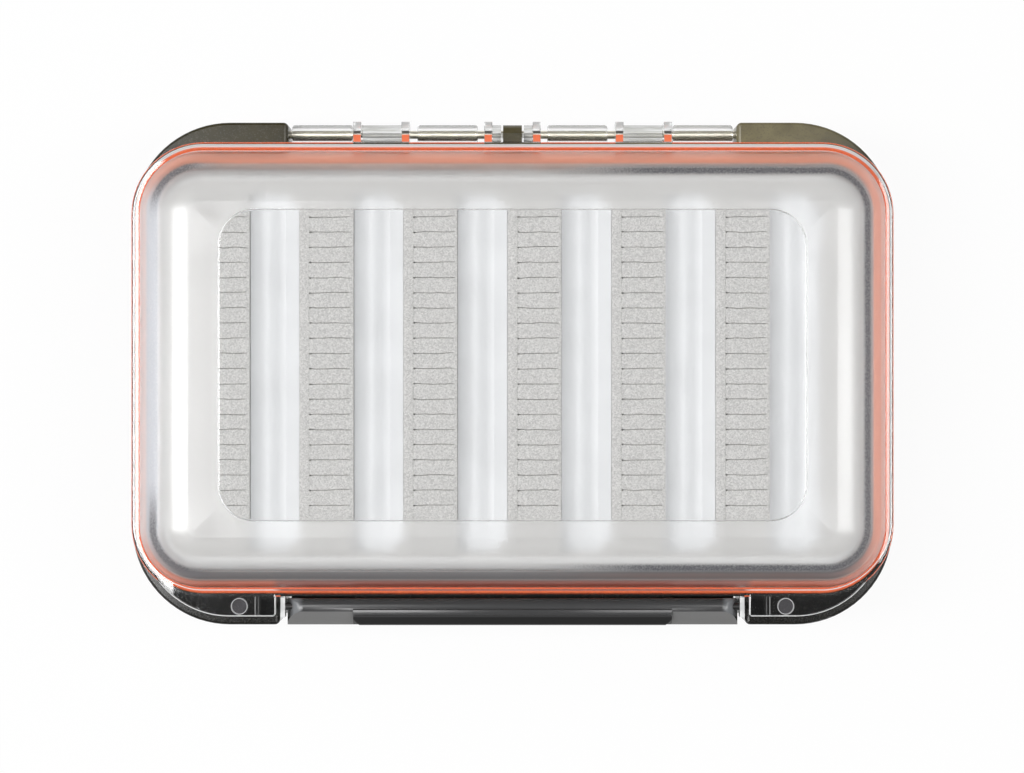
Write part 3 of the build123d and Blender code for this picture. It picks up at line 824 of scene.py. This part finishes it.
# ---------------------------------------------------------------- the slit foam's rule
def slit_foam_tree():
    """A foam strip from its rear left corner: a block whose top is cut by slightly wavy slits."""
    tree = bpy.data.node_groups.new("slit_foam_strip", "GeometryNodeTree")
    names = (
        "Length", "Width", "Height", "Slit Pitch", "First Slit", "Slit Count", "Slit Width", "Slit Depth",
        "Slit Wave", "Uncut End", "Start Hole", "Turn", "Corner", "Seed", "Foam",
    )
    other_kinds = {"Slit Count": "Int", "Corner": "Vector", "Seed": "Int", "Foam": "Material"}
    tree.interface.new_socket("Geometry", in_out="OUTPUT", socket_type="NodeSocketGeometry")
    for name in names:
        kind = "NodeSocket" + other_kinds.get(name, "Float")
        tree.interface.new_socket(name, in_out="INPUT", socket_type=kind)
    given = tree.nodes.new("NodeGroupInput").outputs
    # Columns lie closer together near the hole that each slit starts from, at the strip's left.
    columns, rows_per_slit, crowding = 30, 8, 1.5
    rows = calc(tree, "MULTIPLY_ADD", given["Slit Count"], float(rows_per_slit), 2.0)

    grid = put(tree, "GeometryNodeMeshGrid", {"Vertices X": columns, "Vertices Y": rows})
    index = put(tree, "GeometryNodeInputIndex").outputs[0]
    column = calc(tree, "FLOOR", calc(tree, "DIVIDE", calc(tree, "ADD", index, 0.5), rows))
    row = calc(tree, "SUBTRACT", index, times(tree, column, rows))
    across = calc(tree, "DIVIDE", column, columns - 1.0)
    x = times(tree, given["Width"], calc(tree, "POWER", across, crowding))

    counted = calc(tree, "DIVIDE", calc(tree, "SUBTRACT", row, 0.5), float(rows_per_slit))
    slit = largest(tree, calc(tree, "FLOOR", counted), 0.0)
    # Of a slit's eight rows, the fourth is its bottom and the eighth lies midway to the next slit.
    phase = calc(tree, "SUBTRACT", row, 1.0)
    phase = calc(tree, "SUBTRACT", phase, times(tree, slit, float(rows_per_slit)))
    from_bottom = calc(tree, "SUBTRACT", 3.0, phase)
    step = off(tree, from_bottom)
    side = calc(tree, "SIGN", from_bottom)

    starts = ramp(tree, x, 0.02 * MM, 0.12 * MM)
    to_right_end = calc(tree, "SUBTRACT", given["Width"], x)
    uncut_from = calc(tree, "SUBTRACT", given["Uncut End"], 0.1 * MM)
    stops = ramp(tree, to_right_end, uncut_from, given["Uncut End"])
    cut = times(tree, starts, stops)
    hole = ramp(tree, off(tree, x, 0.22 * MM), 0.3 * MM, 0.05 * MM)
    mouth = calc(tree, "MULTIPLY_ADD", hole, given["Start Hole"], times(tree, given["Slit Width"], 0.5))

    def by_step(*values):
        """The value for a row, by its steps from the slit's bottom."""
        switch = tree.nodes.new("GeometryNodeIndexSwitch")
        switch.data_type = "FLOAT"
        for _ in values[2:]:
            switch.index_switch_items.new()
        for socket, value in zip(list(switch.inputs)[1:], values):
            if isinstance(value, bpy.types.NodeSocket):
                tree.links.new(value, socket)
            else:
                socket.default_value = value
        tree.links.new(step, switch.inputs[0])
        return switch.outputs[0]

    away = by_step(
        0.0,
        mouth,
        calc(tree, "ADD", mouth, 0.05 * MM),
        calc(tree, "ADD", mouth, 0.2 * MM),
        times(tree, given["Slit Pitch"], 0.5),
    )
    sink = by_step(given["Slit Depth"], 0.35 * MM, 0.08 * MM, 0.015 * MM, 0.0)

    apart = {0: times(tree, x, 350.0), 1: times(tree, slit, 5.37), 2: times(tree, given["Seed"], 3.71)}
    noise_at = put(tree, "ShaderNodeCombineXYZ", apart).outputs[0]
    noise = put(tree, "ShaderNodeTexNoise", {"Vector": noise_at, "Scale": 1.0, "Detail": 2.0}).outputs[0]
    wander = times(tree, calc(tree, "MULTIPLY_ADD", noise, 4.0, -2.0), given["Slit Wave"])
    lean = {2: -0.012, 3: 0.012, "ID": calc(tree, "ROUND", slit), "Seed": given["Seed"]}
    lean = put(tree, "FunctionNodeRandomValue", lean, data_type="FLOAT").outputs[1]
    slope = times(tree, calc(tree, "ADD", lean, calc(tree, "TANGENT", given["Turn"])), x)
    slit_y = calc(tree, "MULTIPLY_ADD", slit, given["Slit Pitch"], given["First Slit"])
    line_y = calc(tree, "SUBTRACT", calc(tree, "ADD", wander, slope), slit_y)
    inner_y = calc(tree, "MULTIPLY_ADD", side, away, line_y)
    last = calc(tree, "SUBTRACT", rows, 1.0)
    is_rear = calc(tree, "LESS_THAN", row, 0.5)
    is_front = calc(tree, "GREATER_THAN", row, calc(tree, "SUBTRACT", last, 0.5))
    is_inner = calc(tree, "SUBTRACT", rest(tree, is_rear), is_front)
    y = calc(tree, "SUBTRACT", times(tree, inner_y, is_inner), times(tree, is_front, given["Length"]))
    inner_sink = times(tree, sink, cut, is_inner)
    ends_sink = times(tree, calc(tree, "ADD", is_rear, is_front), 0.06 * MM)
    right_sink = ramp(tree, to_right_end, 0.2 * MM, 0.0, 0.0, 0.1 * MM)
    drop = largest(tree, inner_sink, ends_sink, right_sink)

    place = put(tree, "ShaderNodeCombineXYZ", {0: x, 1: y, 2: 0.0}).outputs[0]
    capture = tree.nodes.new("GeometryNodeCaptureAttribute")
    capture.capture_items.new("FLOAT", "Drop")
    capture.capture_items.new("VECTOR", "Place")
    tree.links.new(grid.outputs["Mesh"], capture.inputs["Geometry"])
    tree.links.new(drop, capture.inputs["Drop"])
    tree.links.new(place, capture.inputs["Place"])
    laid = {"Geometry": capture.outputs["Geometry"], "Position": capture.outputs["Place"]}
    flat = put(tree, "GeometryNodeSetPosition", laid).outputs[0]
    up = put(tree, "ShaderNodeCombineXYZ", {2: given["Height"]}).outputs[0]
    block = {"Mesh": flat, "Offset": up, "Offset Scale": 1.0, "Individual": False}
    block = put(tree, "GeometryNodeExtrudeMesh", block).outputs["Mesh"]
    position = put(tree, "GeometryNodeInputPosition").outputs[0]
    height = put(tree, "ShaderNodeSeparateXYZ", {0: position}).outputs[2]
    on_top = calc(tree, "GREATER_THAN", height, times(tree, given["Height"], 0.5))
    down = put(tree, "ShaderNodeCombineXYZ", {2: times(tree, capture.outputs["Drop"], -1.0)}).outputs[0]
    lowered = {"Geometry": block, "Selection": on_top, "Offset": down}
    cut_top = put(tree, "GeometryNodeSetPosition", lowered).outputs[0]
    underside = put(tree, "GeometryNodeFlipFaces", {"Mesh": flat}).outputs[0]
    join = tree.nodes.new("GeometryNodeJoinGeometry")
    tree.links.new(cut_top, join.inputs[0])
    tree.links.new(underside, join.inputs[0])
    strip = join.outputs[0]
    for kind, settings in (
        ("GeometryNodeMergeByDistance", {"Distance": 0.0005 * MM}),
        ("GeometryNodeTransform", {"Translation": given["Corner"]}),
        ("GeometryNodeRealizeInstances", {}),
        ("GeometryNodeSetMaterial", {"Material": given["Foam"]}),
    ):
        strip = put(tree, kind, {"Geometry": strip, **settings}).outputs[0]
    put(tree, "NodeGroupOutput", {"Geometry": strip})
    return tree


def grow(tree, name, values):
    """Runs a geometry tree with the given inputs and returns the plain mesh."""
    carrier = bpy.data.objects.new(name + "_grown", bpy.data.meshes.new(name + "_seed"))
    bpy.context.scene.collection.objects.link(carrier)
    modifier = carrier.modifiers.new("grown", "NODES")
    modifier.node_group = tree
    for item in tree.interface.items_tree:
        if item.in_out == "INPUT" and item.name in values:
            modifier[item.identifier] = values[item.name]
    evaluated = carrier.evaluated_get(bpy.context.evaluated_depsgraph_get())
    mesh = bpy.data.meshes.new_from_object(evaluated)
    carrier.modifiers.remove(modifier)
    bpy.data.objects.remove(carrier)
    if not mesh.polygons:
        raise RuntimeError(f"{name} came out empty")
    return mesh


def mirror_down(mesh):
    """The same mesh below the case's middle plane."""
    mesh.transform(Matrix.Translation((0, 0, 2 * MIDDLE_Z)) @ Matrix.Diagonal((1, 1, -1, 1)))
    mesh.flip_normals()


# ---------------------------------------------------------------- operators
SENSOR_MM, LENS_MM = 36.0, 113.8
CAMERA_FOOT = (-0.0001, -0.0026)
FLOOR_HALF = 4.0
FLOOR_GAP = 0.05 * MM       # keeps the floor just clear of the lower window
SOFTBOXES = (               # name, place, width and length
    ("left", (-0.516, 0.0, 0.971), 0.75, 0.24),
    ("right", (0.525, 0.0, 0.966), 0.74, 0.24),
)


class FLYBOX_OT_stage(bpy.types.Operator):
    """Set up the camera, the pale floor and the soft studio light"""

    bl_idname = "fly_box.stage"
    bl_label = "Stage"

    def execute(self, context):
        stage = look("fly_box_stage")
        scene = context.scene
        lens = bpy.data.cameras.new("fly_box_camera")
        lens.sensor_width = SENSOR_MM
        lens.lens = LENS_MM
        lens.clip_start, lens.clip_end = 0.05, 20.0
        camera = bpy.data.objects.new("fly_box_camera", lens)
        camera.location = (*CAMERA_FOOT, stage.camera_height)
        scene.collection.objects.link(camera)
        scene.camera = camera

        mesh = bpy.data.meshes.new("studio_floor")
        half, low = FLOOR_HALF, -FLOOR_GAP
        corners = [(-half, -half, low), (half, -half, low), (half, half, low), (-half, half, low)]
        mesh.from_pydata(corners, [], [(0, 1, 2, 3)])
        wear_mesh(mesh, studio_floor())
        floor = bpy.data.objects.new("studio_floor", mesh)
        scene.collection.objects.link(floor)

        for name, place, width, length in SOFTBOXES:
            lamp = bpy.data.lights.new(name + "_softbox", "AREA")
            lamp.shape = "RECTANGLE"
            lamp.size, lamp.size_y = width, length
            lamp.energy = getattr(stage, name + "_light")
            box = bpy.data.objects.new(name + "_softbox", lamp)
            box.location = place
            box.rotation_euler = (0, math.atan2(place[0], place[2]), 0)
            box.visible_camera = False
            scene.collection.objects.link(box)

        room = bpy.data.worlds.new("studio_room")
        scene.world = room
        room.use_nodes = True
        tree = room.node_tree
        tree.nodes.clear()
        path = put(tree, "ShaderNodeLightPath")
        seen = put(tree, "ShaderNodeBackground", {"Color": (1, 1, 1, 1), "Strength": 1.0})
        direction = put(tree, "ShaderNodeTexCoord").outputs["Generated"]
        across = put(tree, "ShaderNodeSeparateXYZ", {0: direction}).outputs[0]
        leftward = largest(tree, times(tree, across, -1.0), 0.0)
        rightward = largest(tree, across, 0.0)
        squared = times(tree, leftward, leftward)
        glow = calc(tree, "MULTIPLY_ADD", squared, stage.left_wall, stage.room_light)
        glow = calc(tree, "MULTIPLY_ADD", times(tree, rightward, rightward), stage.right_wall, glow)
        light = put(tree, "ShaderNodeBackground", {"Color": (1, 1, 1, 1), "Strength": glow})
        mixed = {0: path.outputs["Is Camera Ray"], 1: light.outputs[0], 2: seen.outputs[0]}
        mixed = put(tree, "ShaderNodeMixShader", mixed)
        put(tree, "ShaderNodeOutputWorld", {"Surface": mixed.outputs[0]})
        scene.view_settings.view_transform = "Standard"
        return {"FINISHED"}


class FLYBOX_OT_lids(bpy.types.Operator):
    """Give both lids their frosted dome and polished window"""

    bl_idname = "fly_box.lids"
    bl_label = "Lids"

    def execute(self, context):
        wear(("upper_lid", "lower_lid"), clear_lid_plastic())
        return {"FINISHED"}


class FLYBOX_OT_middle_frame(bpy.types.Operator):
    """Give the middle frame its graphite plastic"""

    bl_idname = "fly_box.middle_frame"
    bl_label = "Middle Frame"

    def execute(self, context):
        wear(("middle_frame",), graphite_plastic())
        return {"FINISHED"}


class FLYBOX_OT_pins(bpy.types.Operator):
    """Give the hinge pin and the latch pins their drawn steel"""

    bl_idname = "fly_box.pins"
    bl_label = "Pins"

    def execute(self, context):
        wear(("hinge_pin", "upper_latch_pin", "lower_latch_pin"), pin_steel())
        return {"FINISHED"}


class FLYBOX_OT_latches(bpy.types.Operator):
    """Build both latches with rounded edges"""

    bl_idname = "fly_box.latches"
    bl_label = "Latches"

    def execute(self, context):
        finish = latch_plastic()
        width = look("fly_box_case").edge_round
        for side in ("upper", "lower"):
            mesh = rounded_copy(f"{side}_latch", width, 3)
            wear_mesh(mesh, finish)
            add_piece(f"{side}_latch_lever", mesh, f"{side}_latch", f"{side}_latch")
        return {"FINISHED"}


class FLYBOX_OT_seals(bpy.types.Operator):
    """Build both silicone seals with a rounded bead"""

    bl_idname = "fly_box.seals"
    bl_label = "Seals"

    def execute(self, context):
        finish = silicone_rubber()
        for side in ("upper", "lower"):
            mesh = rounded_copy(f"{side}_seal", SEAL_ROUND, 3)
            wear_mesh(mesh, finish)
            add_piece(f"{side}_sealing_ring", mesh, "frame", f"{side}_seal")
        return {"FINISHED"}


class FLYBOX_OT_trays(bpy.types.Operator):
    """Give both trays their white plastic"""

    bl_idname = "fly_box.trays"
    bl_label = "Trays"

    def execute(self, context):
        wear(("upper_tray", "lower_tray"), tray_plastic())
        return {"FINISHED"}


class FLYBOX_OT_foam(bpy.types.Operator):
    """Build the foam sheets and their slit strips"""

    bl_idname = "fly_box.foam"
    bl_label = "Foam"

    def execute(self, context):
        insert = look("fly_box_insert")
        finish = closed_cell_foam()
        for side in ("upper", "lower"):
            mesh = rounded_copy(f"{side}_foam_base", FOAM_ROUND, 2)
            wear_mesh(mesh, finish)
            sheet = add_piece(f"{side}_foam_sheet", mesh, "frame", f"{side}_foam_base")
        tree = slit_foam_tree()
        spread = 0.05 * MM      # the strip fills its slot at the left
        for number in range(1, STRIPS_PER_SIDE + 1):
            low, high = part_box(f"upper_slit_foam_{number}")
            values = {
                "Length": high.y - low.y,
                "Width": high.x - low.x + spread,
                "Height": high.z - low.z,
                "Slit Pitch": insert.slit_pitch,
                "First Slit": insert.first_slit - spread,
                "Slit Count": insert.slit_count,
                "Slit Width": insert.slit_width,
                "Slit Depth": insert.slit_depth,
                "Slit Wave": insert.slit_wave,
                "Uncut End": 0.65 * MM,
                "Start Hole": 0.09 * MM,
                "Turn": math.radians(0.45),
                "Corner": (low.x - spread, high.y, low.z),
                "Foam": finish,
            }
            for side in ("upper", "lower"):
                values["Seed"] = number + (0 if side == "upper" else 20)
                mesh = grow(tree, f"{side}_strip_{number}", values)
                if side == "lower":
                    mirror_down(mesh)
                strip = add_piece(
                    f"{side}_slit_strip_{number}", mesh, "frame", f"{side}_slit_foam_{number}"
                )
        return {"FINISHED"}


STEPS = (
    FLYBOX_OT_stage,
    FLYBOX_OT_lids,
    FLYBOX_OT_middle_frame,
    FLYBOX_OT_pins,
    FLYBOX_OT_latches,
    FLYBOX_OT_seals,
    FLYBOX_OT_trays,
    FLYBOX_OT_foam,
)


class FLYBOX_PT_panel(bpy.types.Panel):
    """The fly box's sizes, colours and steps"""

    bl_idname = "FLYBOX_PT_panel"
    bl_label = "Fly Box"
    bl_space_type = "VIEW_3D"
    bl_region_type = "UI"
    bl_category = "Fly Box"

    def draw(self, context):
        for name in LOOKS:
            group = getattr(context.scene, name)
            box = self.layout.box()
            for key in group.bl_rna.properties.keys():
                if key not in ("rna_type", "name"):
                    box.prop(group, key)
        for step in STEPS:
            self.layout.operator(step.bl_idname)


LOOKS = {
    "fly_box_lid": FlyBoxLidLook,
    "fly_box_case": FlyBoxCaseLook,
    "fly_box_insert": FlyBoxInsertLook,
    "fly_box_stage": FlyBoxStageLook,
}


def register():
    """Registers the classes and gives the scene its groups of settings."""
    for kind in (*LOOKS.values(), *STEPS, FLYBOX_PT_panel):
        bpy.utils.register_class(kind)
    for name, kind in LOOKS.items():
        setattr(bpy.types.Scene, name, PointerProperty(type=kind))


def unregister():
    """Takes back what register did."""
    for name in LOOKS:
        delattr(bpy.types.Scene, name)
    for kind in reversed((*LOOKS.values(), *STEPS, FLYBOX_PT_panel)):
        bpy.utils.unregister_class(kind)


def main():
    """Builds the whole scene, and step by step."""
    register()
    for step in STEPS:
        family, action = step.bl_idname.split(".")
        getattr(getattr(bpy.ops, family), action)()


if __name__ == "__main__":
    main()
